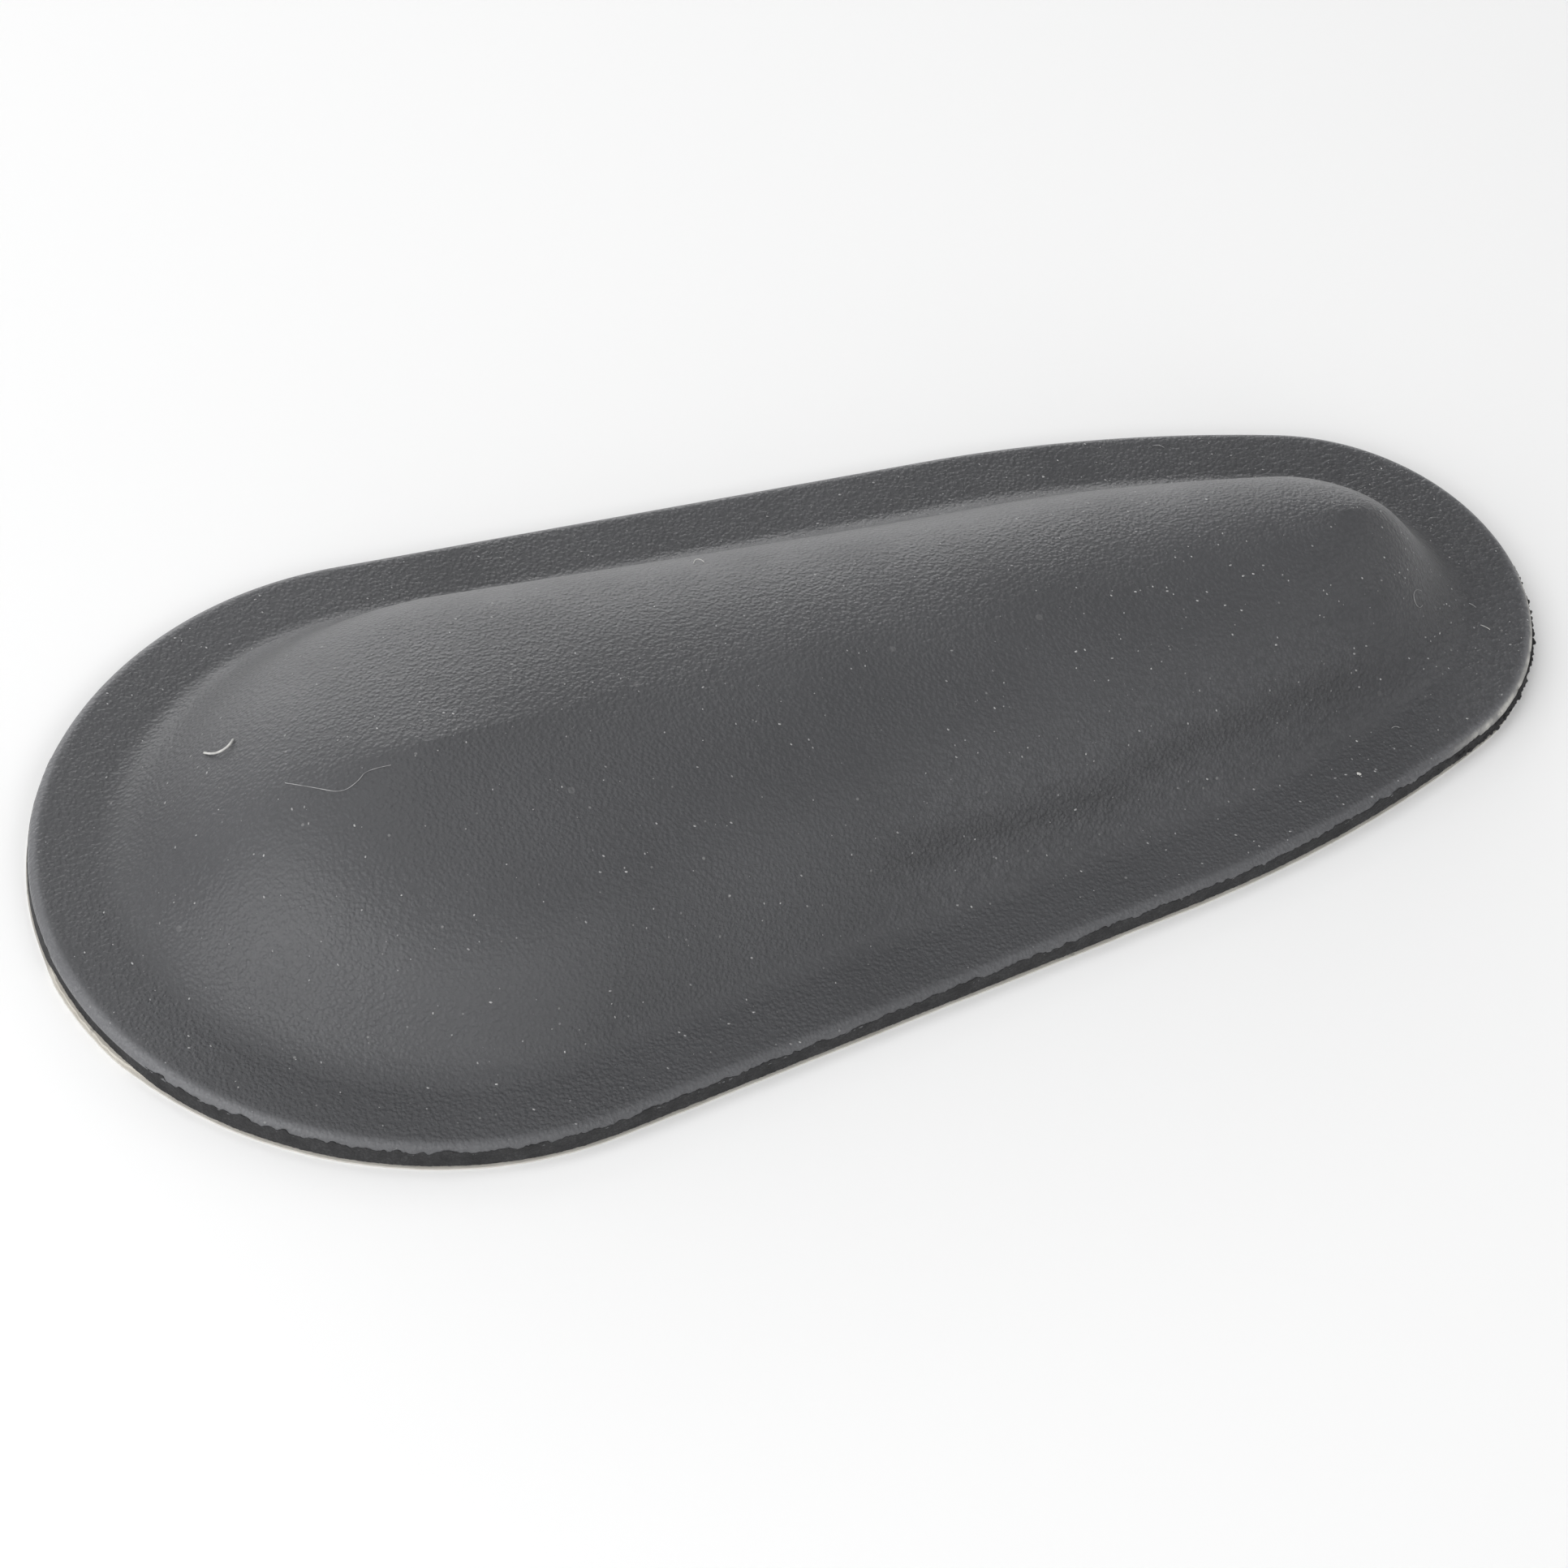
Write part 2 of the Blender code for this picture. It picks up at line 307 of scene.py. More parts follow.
def sewn_object(name, rings, closed_ends, masks=None):
    """A closed body through rings that all have the same count of points."""
    count = len(rings[0])
    points = np.vstack(rings)
    around = np.arange(count)
    nearby = (around + 1) % count
    faces = []
    for level in range(len(rings) - 1):
        low, high = level * count, (level + 1) * count
        quads = np.stack((low + around, low + nearby, high + nearby, high + around), axis=1)
        faces.extend(quads.tolist())
    if closed_ends:
        faces.append(around[::-1].tolist())
        faces.append(((len(rings) - 1) * count + around).tolist())
    mesh = bpy.data.meshes.new(name)
    mesh.from_pydata(points.tolist(), [], faces)
    for mask_name, values in (masks or {}).items():
        layer = mesh.attributes.new(mask_name, "FLOAT", "POINT")
        layer.data.foreach_set("value", np.asarray(values, np.float32))
    work = bmesh.new()
    work.from_mesh(mesh)
    bmesh.ops.remove_doubles(work, verts=work.verts, dist=SEWN_WITHIN)
    bmesh.ops.dissolve_degenerate(work, edges=work.edges, dist=SEWN_WITHIN / 2)
    work.to_mesh(mesh)
    work.free()
    mesh.shade_smooth()
    mesh.set_sharp_from_angle(angle=SHARP_ANGLE)
    piece = bpy.data.objects.new(name, mesh)
    bpy.context.scene.collection.objects.link(piece)
    return piece


def shares_of_run(steps):
    """Shares from 0 to 1 that lie somewhat closer together near both ends."""
    evenly = np.linspace(0.0, 1.0, steps + 1)
    return 0.5 * evenly + 0.5 * evenly * evenly * (3.0 - 2.0 * evenly)


def soft_step(values, start, end):
    """0 up to the start, 1 from the end on, and a soft climb between."""
    share = np.clip((values - start) / (end - start), 0, 1)
    return share * share * (3.0 - 2.0 * share)


def near_line(points, start, end, reach):
    """1 on a line across the pad, falling to 0 this far from it and at its ends."""
    start, end = np.array(start), np.array(end)
    along = end - start
    share = ((points[:, :2] - start) @ along) / (along @ along)
    away = np.linalg.norm(points[:, :2] - (start + share[:, None] * along), axis=1)
    ends = soft_step(share, 0.0, 0.25) * (1.0 - soft_step(share, 0.75, 1.0))
    return np.exp(-((away / reach) ** 2)) * ends


def torn(points, size, seed):
    """Rough noise from -1 to 1 with this size of detail, one value for each point."""
    shift = Vector((seed * 7.3, seed * 3.1, seed * 1.7))
    return np.array([noise.fractal(Vector(p) / size + shift, 0.9, 2.1, 4) for p in points.tolist()])


def make_cover(outline, bottom, border_top):
    """The moulded cover as one closed shell, with masks for its marks and for the highlights painted
    on its rim.
    """
    cushion = Cushion(outline, COVER_SPACING, border_top)
    rings = [cushion.ring(share, COVER_THICKNESS) for share in shares_of_run(COVER_UNDER_STEPS)[::-1]]
    rings.append(cushion.inset(BORDER_WIDTH / 2, bottom))
    rings.append(cushion.inset(0.0, bottom))
    rim_insets = []
    for step in range(RIM_STEPS + 1):
        turn = math.pi / 2 * step / RIM_STEPS
        rim_insets.append(RIM_RADIUS * (1.0 - math.cos(turn)))
        height = border_top - RIM_RADIUS * (1.0 - math.sin(turn))
        rings.append(cushion.inset(rim_insets[-1], height))
    for share in (0.26, 0.35, 0.5, 0.65, 0.8, 0.9):
        rim_insets.append(BORDER_WIDTH * share)
        rings.append(cushion.inset(BORDER_WIDTH * share, border_top))
    first_rim = len(rings) - len(rim_insets)
    first_top = len(rings)
    rings += [cushion.ring(share) for share in shares_of_run(COVER_TOP_STEPS)]

    points = np.vstack(rings)
    count = len(rings[0])
    is_top = np.arange(len(points)) >= first_top * count
    # The rim mask: where a highlight is painted on the rounded rim, stronger toward the ends
    rim = np.zeros(len(points))
    rim_highlight_fade = 1.0 - soft_step(np.array(rim_insets), 0.45 * RIM_RADIUS, 1.25 * RIM_RADIUS)
    rim[first_rim * count : first_top * count] = np.repeat(rim_highlight_fade, count)
    highlight_toward_ends = 0.45 + 0.55 * soft_step(np.abs(points[:, 0]), 45 * MM, 85 * MM)
    rim *= highlight_toward_ends
    scuff = np.zeros(len(points))
    roughened = np.zeros(len(points))
    for start, end in SCUFF_LINES:
        scuff = np.maximum(scuff, near_line(points, start, end, SCUFF_REACH) * is_top)
        roughened = np.maximum(roughened, near_line(points, start, end, ROUGHENED_REACH) * is_top)
    waver = 0.6 + 0.4 * torn(points, 5.0 * MM, 6)
    points[:, 2] -= SCUFF_DEPTH * scuff * waver
    nose = soft_step(points[:, 0], 0.55 * outline.length / 2, 0.9 * outline.length / 2)
    # The backing mask: the nose's lower rim, where pale cloth backing and a painted highlight of the
    # lit rim are shown
    backing_and_highlight = soft_step(points[:, 0], PALE_EDGE_FROM, PALE_EDGE_FULL)
    backing_and_highlight *= soft_step(-points[:, 1], 1.0 * MM, 6.0 * MM)
    backing_and_highlight *= 1.0 - soft_step(points[:, 2], border_top - 0.50 * MM, border_top - 0.10 * MM)
    toward_nose = soft_step(points[:, 0], 0.0, 40.0 * MM)
    shown = (points[:, 2] > border_top - 0.2 * MM) * (0.45 + 0.55 * toward_nose)
    masks = {
        "scuff": scuff,
        "roughened": roughened,
        "nose": nose,
        "backing_and_highlight": backing_and_highlight,
        "rim": rim,
        "bits": shown,
    }
    return sewn_object("cushion_cover", np.split(points, len(rings)), False, masks)


def near_side(points):
    """1 along the pad's -Y edge and 0.3 along its +Y edge."""
    return 0.3 + 0.7 * soft_step(-points[:, 1], -6.0 * MM, 6.0 * MM)


def peeled_patch(points):
    """1 where the layers have come apart at the heel."""
    end = soft_step(-points[:, 0], 82.0 * MM, 87.0 * MM)
    start = soft_step(-points[:, 1], -1.0 * MM, 3.0 * MM)
    return end * start * (1.0 - soft_step(-points[:, 1], 12.0 * MM, 22.0 * MM))


def frayed_part(points):
    """1 where the nose's edge is torn the most."""
    return soft_step(points[:, 0], 62 * MM, 78 * MM) * soft_step(-points[:, 1], 1 * MM, 8 * MM)


def make_torn_base(outline, bottom, top):
    """The foam sheet, whose torn cut edge swells over the layers above and below it."""
    points, normals = outline.walk(EDGE_SPACING)
    count = len(points)
    rings = [level_ring(points - 2.0 * MM * normals, bottom)]
    rings.append(level_ring(points - 0.5 * MM * normals, bottom))
    frayed, near, peeled = frayed_part(points), near_side(points), peeled_patch(points)
    for level in range(TORN_EDGE_STEPS):
        share = level / (TORN_EDGE_STEPS - 1)
        low = bottom - FOAM_DROOP * (1.0 - peeled)
        high = top + FOAM_SWELL * near * (1.0 - 0.7 * frayed) * (1.0 - peeled)
        ring = np.column_stack((points, low + (high - low) * share))
        bulge = math.sin(math.pi * (0.15 + 0.7 * share))
        push = (0.10 * near + 0.26 * frayed) * MM * torn(ring, 0.9 * MM, 1) * bulge
        push += (0.04 * near + 0.07 * frayed) * MM * torn(ring, 0.25 * MM, 2)
        push += (0.05 + 0.12 * frayed - 0.30 * peeled) * MM * bulge
        ring[:, :2] += push[:, None] * normals
        if level >= TORN_EDGE_STEPS - 3:
            part = (level - TORN_EDGE_STEPS + 4) / 3
            tear = torn(ring, 2.6 * MM, 3) + 0.6 * torn(ring, 0.7 * MM, 4)
            ring[:, 2] += part * FOAM_TEAR * near * (1.0 - peeled) * np.clip(tear, -0.8, 1.0)
        rings.append(ring)
    tucked = rings[-1].copy()
    tucked[:, :2] = points - FOAM_TUCK * normals
    rings.append(tucked)
    rings.append(level_ring(points - 0.45 * MM * normals, top))
    rings.append(level_ring(points - 2.0 * MM * normals, top))
    shown = [np.zeros(count)] * 2 + [frayed] * TORN_EDGE_STEPS + [np.zeros(count)] * 3
    return sewn_object("torn_base_foam", rings, True, {"bits": np.concatenate(shown)})


def make_sheet(name, outline, bottom, top, set_back, wander, peel):
    """A thin sheet whose cut edge wanders a little and hangs out at the peeled patch."""
    points, normals = outline.walk(SHEET_SPACING)
    edge = level_ring(points, bottom)
    shift = wander * torn(edge, 9.0 * MM, 5) - set_back
    shift += peeled_patch(points) * peel * (1.0 + 0.4 * torn(edge, 1.6 * MM, 7))
    flat = points + shift[:, None] * normals
    return sewn_object(name, [level_ring(flat, bottom), level_ring(flat, top)], True)


def make_fibre(name, cover, route, thickness):
    """A lint fibre that lies on the cover along a route seen from above."""
    curve = bpy.data.curves.new(name, "CURVE")
    curve.dimensions = "3D"
    curve.bevel_depth = thickness / 2
    curve.bevel_resolution = 2
    curve.use_fill_caps = True
    spline = curve.splines.new("NURBS")
    spline.points.add(len(route) - 1)
    spline.order_u = 3
    spline.use_endpoint_u = True
    spline.resolution_u = 6
    for index, (x, y, lift) in enumerate(route):
        found, place, _, _ = cover.ray_cast(Vector((x * MM, y * MM, 0.1)), Vector((0, 0, -1)))
        spline.points[index].co = (x * MM, y * MM, place.z + lift * MM + thickness / 2, 1.0)
    holder = bpy.data.objects.new(name, curve)
    bpy.context.scene.collection.objects.link(holder)
    return made_plain(holder, name)


def made_plain(holder, name):
    """Turns a curve, or a mesh with modifiers, into a plain mesh object at the origin."""
    bpy.context.view_layer.update()
    graph = bpy.context.evaluated_depsgraph_get()
    mesh = bpy.data.meshes.new_from_object(holder.evaluated_get(graph))
    bpy.data.objects.remove(holder)
    mesh.name = name
    mesh.shade_smooth()
    piece = bpy.data.objects.new(name, mesh)
    bpy.context.scene.collection.objects.link(piece)
    return piece


# ---------------------------------------------------------------- scattered bits


def bits_tree():
    """Scatters small lumps over the faces that the mesh marks as holding bits."""
    tree = bpy.data.node_groups.new("scattered_bits", "GeometryNodeTree")
    face = tree.interface
    face.new_socket("Geometry", in_out="INPUT", socket_type="NodeSocketGeometry")
    for label in ("Bits per Square Metre", "Smallest", "Largest", "Flatness"):
        face.new_socket(label, in_out="INPUT", socket_type="NodeSocketFloat")
    face.new_socket("Seed", in_out="INPUT", socket_type="NodeSocketInt")
    face.new_socket("Material", in_out="INPUT", socket_type="NodeSocketMaterial")
    face.new_socket("Geometry", in_out="OUTPUT", socket_type="NodeSocketGeometry")
    start = tree.nodes.new("NodeGroupInput")
    end = tree.nodes.new("NodeGroupOutput")
    mark = tree.nodes.new("GeometryNodeInputNamedAttribute")
    mark.data_type = "FLOAT"
    mark.inputs["Name"].default_value = "bits"
    density = tree.nodes.new("ShaderNodeMath")
    density.operation = "MULTIPLY"
    spread = tree.nodes.new("GeometryNodeDistributePointsOnFaces")
    lump = tree.nodes.new("GeometryNodeMeshIcoSphere")
    lump.inputs["Radius"].default_value = 1.0
    lump.inputs["Subdivisions"].default_value = 1
    bump = tree.nodes.new("GeometryNodeSetPosition")
    rough = tree.nodes.new("ShaderNodeTexNoise")
    rough.inputs["Scale"].default_value = 1.3
    centred = tree.nodes.new("ShaderNodeVectorMath")
    centred.operation = "SUBTRACT"
    centred.inputs[1].default_value = (0.5, 0.5, 0.5)
    size = tree.nodes.new("FunctionNodeRandomValue")
    size.data_type = "FLOAT"
    stretch = tree.nodes.new("FunctionNodeRandomValue")
    stretch.data_type = "FLOAT"
    stretch.inputs[2].default_value = 0.7
    stretch.inputs[3].default_value = 1.8
    longer = tree.nodes.new("ShaderNodeMath")
    longer.operation = "MULTIPLY"
    flatter = tree.nodes.new("ShaderNodeMath")
    flatter.operation = "MULTIPLY"
    joined = tree.nodes.new("ShaderNodeCombineXYZ")
    turn = tree.nodes.new("FunctionNodeRandomValue")
    turn.data_type = "FLOAT"
    turn.inputs[3].default_value = 2 * math.pi
    spin = tree.nodes.new("FunctionNodeRotateRotation")
    spin.rotation_space = "LOCAL"
    about = tree.nodes.new("FunctionNodeAxisAngleToRotation")
    place = tree.nodes.new("GeometryNodeInstanceOnPoints")
    solid = tree.nodes.new("GeometryNodeRealizeInstances")
    paint = tree.nodes.new("GeometryNodeSetMaterial")
    wire = tree.links.new
    wire(start.outputs["Geometry"], spread.inputs["Mesh"])
    wire(mark.outputs["Attribute"], density.inputs[0])
    wire(start.outputs["Bits per Square Metre"], density.inputs[1])
    wire(density.outputs[0], spread.inputs["Density"])
    wire(start.outputs["Seed"], spread.inputs["Seed"])
    wire(rough.outputs["Color"], centred.inputs[0])
    wire(lump.outputs["Mesh"], bump.inputs["Geometry"])
    wire(centred.outputs[0], bump.inputs["Offset"])
    wire(start.outputs["Smallest"], size.inputs[2])
    wire(start.outputs["Largest"], size.inputs[3])
    wire(size.outputs[1], longer.inputs[0])
    wire(stretch.outputs[1], longer.inputs[1])
    wire(size.outputs[1], flatter.inputs[0])
    wire(start.outputs["Flatness"], flatter.inputs[1])
    wire(longer.outputs[0], joined.inputs["X"])
    wire(size.outputs[1], joined.inputs["Y"])
    wire(flatter.outputs[0], joined.inputs["Z"])
    wire(turn.outputs[1], about.inputs["Angle"])
    wire(spread.outputs["Rotation"], spin.inputs[0])
    wire(about.outputs[0], spin.inputs[1])
    wire(spread.outputs["Points"], place.inputs["Points"])
    wire(bump.outputs["Geometry"], place.inputs["Instance"])
    wire(joined.outputs[0], place.inputs["Scale"])
    wire(spin.outputs[0], place.inputs["Rotation"])
    wire(place.outputs["Instances"], solid.inputs["Geometry"])
    wire(solid.outputs["Geometry"], paint.inputs["Geometry"])
    wire(start.outputs["Material"], paint.inputs["Material"])
    wire(paint.outputs["Geometry"], end.inputs["Geometry"])
    return tree


def scatter(name, tree, ground, material, bits):
    """A plain mesh of small lumps over the marked faces of another piece."""
    density, smallest, largest, flatness, seed = bits
    holder = bpy.data.objects.new(name, ground.data.copy())
    bpy.context.scene.collection.objects.link(holder)
    holder.data.materials.clear()
    modifier = holder.modifiers.new("bits", "NODES")
    modifier.node_group = tree
    values = {
        "Bits per Square Metre": density,
        "Smallest": smallest,
        "Largest": largest,
        "Flatness": flatness,
        "Seed": seed,
        "Material": material,
    }
    for item in tree.interface.items_tree:
        if item.in_out == "INPUT" and item.name in values:
            modifier[item.identifier] = values[item.name]
    return made_plain(holder, name)


# ---------------------------------------------------------------- shader groups

FLOAT = "NodeSocketFloat"
VECTOR = "NodeSocketVector"


def start_group(name, inputs, outputs):
    """A new shader group with these inputs and outputs, each a label and a kind."""
    tree = bpy.data.node_groups.new(name, "ShaderNodeTree")
    for label, kind in inputs:
        tree.interface.new_socket(label, in_out="INPUT", socket_type=kind)
    for label, kind in outputs:
        tree.interface.new_socket(label, in_out="OUTPUT", socket_type=kind)
    return tree, tree.nodes.new("NodeGroupInput"), tree.nodes.new("NodeGroupOutput")


def grain_group():
    """Small rounded pebbles with finer pores between them, as a height from 0 to 1."""
    tree, start, end = start_group(
        "leather_grain", [("Vector", VECTOR), ("Cells per Metre", FLOAT)], [("Height", FLOAT)]
    )
    wire = tree.links.new
    drift = tree.nodes.new("ShaderNodeTexNoise")
    drift.inputs["Detail"].default_value = 2.0
    wire(start.outputs["Vector"], drift.inputs["Vector"])
    wire(start.outputs["Cells per Metre"], drift.inputs["Scale"])
    lean = tree.nodes.new("ShaderNodeVectorMath")
    lean.operation = "MULTIPLY_ADD"
    lean.inputs[1].default_value = (0.0003, 0.0003, 0.0003)
    wire(drift.outputs["Color"], lean.inputs[0])
    wire(start.outputs["Vector"], lean.inputs[2])
    cells = tree.nodes.new("ShaderNodeTexVoronoi")
    cells.feature = "SMOOTH_F1"
    cells.inputs["Smoothness"].default_value = 0.35
    wire(lean.outputs[0], cells.inputs["Vector"])
    wire(start.outputs["Cells per Metre"], cells.inputs["Scale"])
    pore_scale = tree.nodes.new("ShaderNodeMath")
    pore_scale.operation = "MULTIPLY"
    pore_scale.inputs[1].default_value = 2.7
    wire(start.outputs["Cells per Metre"], pore_scale.inputs[0])
    pores = tree.nodes.new("ShaderNodeTexNoise")
    pores.inputs["Detail"].default_value = 3.0
    wire(lean.outputs[0], pores.inputs["Vector"])
    wire(pore_scale.outputs[0], pores.inputs["Scale"])
    round_top = tree.nodes.new("ShaderNodeMapRange")
    round_top.interpolation_type = "SMOOTHSTEP"
    round_top.inputs["From Min"].default_value = 0.75
    round_top.inputs["From Max"].default_value = 0.1
    wire(cells.outputs["Distance"], round_top.inputs["Value"])
    blend = tree.nodes.new("ShaderNodeMix")
    blend.inputs["Factor"].default_value = 0.45
    wire(round_top.outputs[0], blend.inputs[2])
    wire(pores.outputs[0], blend.inputs[3])
    wire(blend.outputs[0], end.inputs["Height"])
    return tree


def specks_group():
    """Sparse small dots, as a mask from 0 to 1."""
    tree, start, end = start_group(
        "dust_specks",
        [("Vector", VECTOR), ("Cells per Metre", FLOAT), ("Size", FLOAT), ("Presence", FLOAT)],
        [("Mask", FLOAT)],
    )
    wire = tree.links.new
    cells = tree.nodes.new("ShaderNodeTexVoronoi")
    wire(start.outputs["Vector"], cells.inputs["Vector"])
    wire(start.outputs["Cells per Metre"], cells.inputs["Scale"])
    parts = tree.nodes.new("ShaderNodeSeparateColor")
    wire(cells.outputs["Color"], parts.inputs[0])
    radius = tree.nodes.new("ShaderNodeMath")
    radius.operation = "MULTIPLY"
    wire(parts.outputs[0], radius.inputs[0])
    wire(start.outputs["Size"], radius.inputs[1])
    inside = tree.nodes.new("ShaderNodeMath")
    inside.operation = "LESS_THAN"
    wire(cells.outputs["Distance"], inside.inputs[0])
    wire(radius.outputs[0], inside.inputs[1])
    there = tree.nodes.new("ShaderNodeMath")
    there.operation = "LESS_THAN"
    wire(parts.outputs[1], there.inputs[0])
    wire(start.outputs["Presence"], there.inputs[1])
    both = tree.nodes.new("ShaderNodeMath")
    both.operation = "MULTIPLY"
    wire(inside.outputs[0], both.inputs[0])
    wire(there.outputs[0], both.inputs[1])
    wire(both.outputs[0], end.inputs["Mask"])
    return tree


def drift_group():
    """A slow cloudy change between two values."""
    tree, start, end = start_group(
        "cloudy_drift",
        [("Vector", VECTOR), ("Clouds per Metre", FLOAT), ("Low", FLOAT), ("High", FLOAT)],
        [("Value", FLOAT)],
    )
    wire = tree.links.new
    cloud = tree.nodes.new("ShaderNodeTexNoise")
    cloud.inputs["Detail"].default_value = 4.0
    wire(start.outputs["Vector"], cloud.inputs["Vector"])
    wire(start.outputs["Clouds per Metre"], cloud.inputs["Scale"])
    spread = tree.nodes.new("ShaderNodeMapRange")
    spread.inputs["From Min"].default_value = 0.3
    spread.inputs["From Max"].default_value = 0.7
    wire(cloud.outputs[0], spread.inputs["Value"])
    wire(start.outputs["Low"], spread.inputs["To Min"])
    wire(start.outputs["High"], spread.inputs["To Max"])
    wire(spread.outputs[0], end.inputs["Value"])
    return tree


def use_group(tree, group, **values):
    """Places a shader group and sets its inputs, with _ written for a space."""
    node = tree.nodes.new("ShaderNodeGroup")
    node.node_tree = group
    for label, value in values.items():
        node.inputs[label.replace("_", " ")].default_value = value
    return node


# ---------------------------------------------------------------- materials


def new_material(name, roughness):
    material = bpy.data.materials.new(name)
    material.use_nodes = True
    shader = material.node_tree.nodes["Principled BSDF"]
    shader.inputs["Roughness"].default_value = roughness
    return material, material.node_tree, shader


def mixed_colour(tree, factor, first, second):
    """Mixes two colours, each a socket or plain numbers, by a socket or a number."""
    mix = tree.nodes.new("ShaderNodeMix")
    mix.data_type = "RGBA"
    for index, value in ((0, factor), (6, first), (7, second)):
        if isinstance(value, bpy.types.NodeSocket):
            tree.links.new(value, mix.inputs[index])
        elif index == 0:
            mix.inputs[0].default_value = value
        else:
            mix.inputs[index].default_value = (*value, 1.0)
    return mix.outputs[2]


def calc(tree, operation, first, second, third=None):
    """One step of arithmetic on sockets or plain numbers."""
    node = tree.nodes.new("ShaderNodeMath")
    node.operation = operation
    for index, value in enumerate((first, second, third)):
        if value is None:
            continue
        if isinstance(value, bpy.types.NodeSocket):
            tree.links.new(value, node.inputs[index])
        else:
            node.inputs[index].default_value = value
    return node.outputs[0]


def mask_of(tree, name):
    node = tree.nodes.new("ShaderNodeAttribute")
    node.attribute_name = name
    return node.outputs["Fac"]


def object_place(tree):
    return tree.nodes.new("ShaderNodeTexCoord").outputs["Object"]


def leatherette(groups):
    material, tree, shader = new_material("grey_leatherette", 0.42)
    shader.inputs["Sheen Weight"].default_value = 0.10
    shader.inputs["Sheen Roughness"].default_value = 0.35
    wire = tree.links.new
    place = object_place(tree)
    scuff, roughened = mask_of(tree, "scuff"), mask_of(tree, "roughened")
    nose, backing_and_highlight, rim = (mask_of(tree, name) for name in ("nose", "backing_and_highlight", "rim"))

    grain = use_group(tree, groups["grain"], Cells_per_Metre=GRAINS_PER_METRE)
    wire(place, grain.inputs["Vector"])
    squeeze = tree.nodes.new("ShaderNodeMapping")
    squeeze.inputs["Scale"].default_value = (0.55, 1.0, 1.0)
    squeeze.inputs["Rotation"].default_value = (0.0, 0.0, math.radians(35.0))
    wire(place, squeeze.inputs["Vector"])
    wrinkles = tree.nodes.new("ShaderNodeTexNoise")
    wrinkles.inputs["Scale"].default_value = WRINKLES_PER_METRE
    wrinkles.inputs["Detail"].default_value = 2.0
    wrinkles.inputs["Distortion"].default_value = 0.4
    wire(squeeze.outputs[0], wrinkles.inputs["Vector"])
    patches = use_group(tree, groups["drift"], Clouds_per_Metre=60.0, Low=0.5, High=1.0)
    wire(place, patches.inputs["Vector"])
    most = calc(tree, "MAXIMUM", nose, roughened)
    wrinkled = calc(tree, "MULTIPLY_ADD", most, 0.7, 0.55)
    height = calc(tree, "MULTIPLY", grain.outputs[0], patches.outputs[0])
    height = calc(tree, "MULTIPLY_ADD", wrinkles.outputs[0], wrinkled, height)

    tone = use_group(tree, groups["drift"], Clouds_per_Metre=38.0, Low=0.0, High=1.0)
    wire(place, tone.inputs["Vector"])
    colour = mixed_colour(tree, tone.outputs[0], LEATHER_DARK, LEATHER_LIGHT)
    # A lighter rim colour, a painted highlight on the rounded rim
    rim_highlight_amount = calc(tree, "MULTIPLY", rim, calc(tree, "MULTIPLY_ADD", tone.outputs[0], 0.4, 0.6))
    colour = mixed_colour(tree, rim_highlight_amount, colour, RIM_PAINTED_HIGHLIGHT)
    # Darker colour in the grain hollows, more where the grain is wrinkled: painted shade
    hollow_shade = calc(tree, "SUBTRACT", 1.0, calc(tree, "MULTIPLY", height, 0.9))
    hollow_shade = calc(tree, "MULTIPLY", calc(tree, "MULTIPLY_ADD", most, 0.6, 0.4), hollow_shade)
    colour = mixed_colour(tree, calc(tree, "MULTIPLY", hollow_shade, 0.75), colour, GRAIN_HOLLOW_SHADE)
    pale = use_group(tree, groups["drift"], Clouds_per_Metre=700.0, Low=-0.9, High=1.0)
    wire(place, pale.inputs["Vector"])
    chalky = calc(tree, "MULTIPLY", calc(tree, "MAXIMUM", pale.outputs[0], 0.0), roughened)
    colour = mixed_colour(tree, calc(tree, "MULTIPLY", chalky, 0.16), colour, CHALKY_GREY)
    # Darker colour along the crease lines: painted shade
    colour = mixed_colour(tree, calc(tree, "MULTIPLY", scuff, 0.35), colour, CREASE_SHADE)
    dust = use_group(tree, groups["specks"], Cells_per_Metre=520.0, Size=0.09, Presence=0.6)
    wire(place, dust.inputs["Vector"])
    # Faint pale spots on small pimples, a painted highlight
    pimple_glints = use_group(tree, groups["specks"], Cells_per_Metre=170.0, Size=0.08, Presence=0.6)
    wire(place, pimple_glints.inputs["Vector"])
    colour = mixed_colour(tree, calc(tree, "MULTIPLY", dust.outputs[0], 0.5), colour, FINE_DUST)
    colour = mixed_colour(tree, calc(tree, "MULTIPLY", pimple_glints.outputs[0], 0.14), colour, PIMPLE_HIGHLIGHT)
    # Pale colour at the nose's lower rim: cloth backing, and partly a painted highlight of the lit
    # rim
    frayed = calc(tree, "MULTIPLY", backing_and_highlight, calc(tree, "MULTIPLY_ADD", pale.outputs[0], 0.5, 0.75))
    colour = mixed_colour(tree, calc(tree, "MINIMUM", frayed, 1.0), colour, BACKING_AND_RIM_HIGHLIGHT)
    wire(colour, shader.inputs["Base Color"])

    shine = use_group(tree, groups["drift"], Clouds_per_Metre=90.0, Low=0.36, High=0.46)
    wire(place, shine.inputs["Vector"])
    shine_worn = calc(tree, "MULTIPLY_ADD", roughened, 0.05, shine.outputs[0])
    wire(calc(tree, "MULTIPLY_ADD", backing_and_highlight, 0.3, shine_worn), shader.inputs["Roughness"])

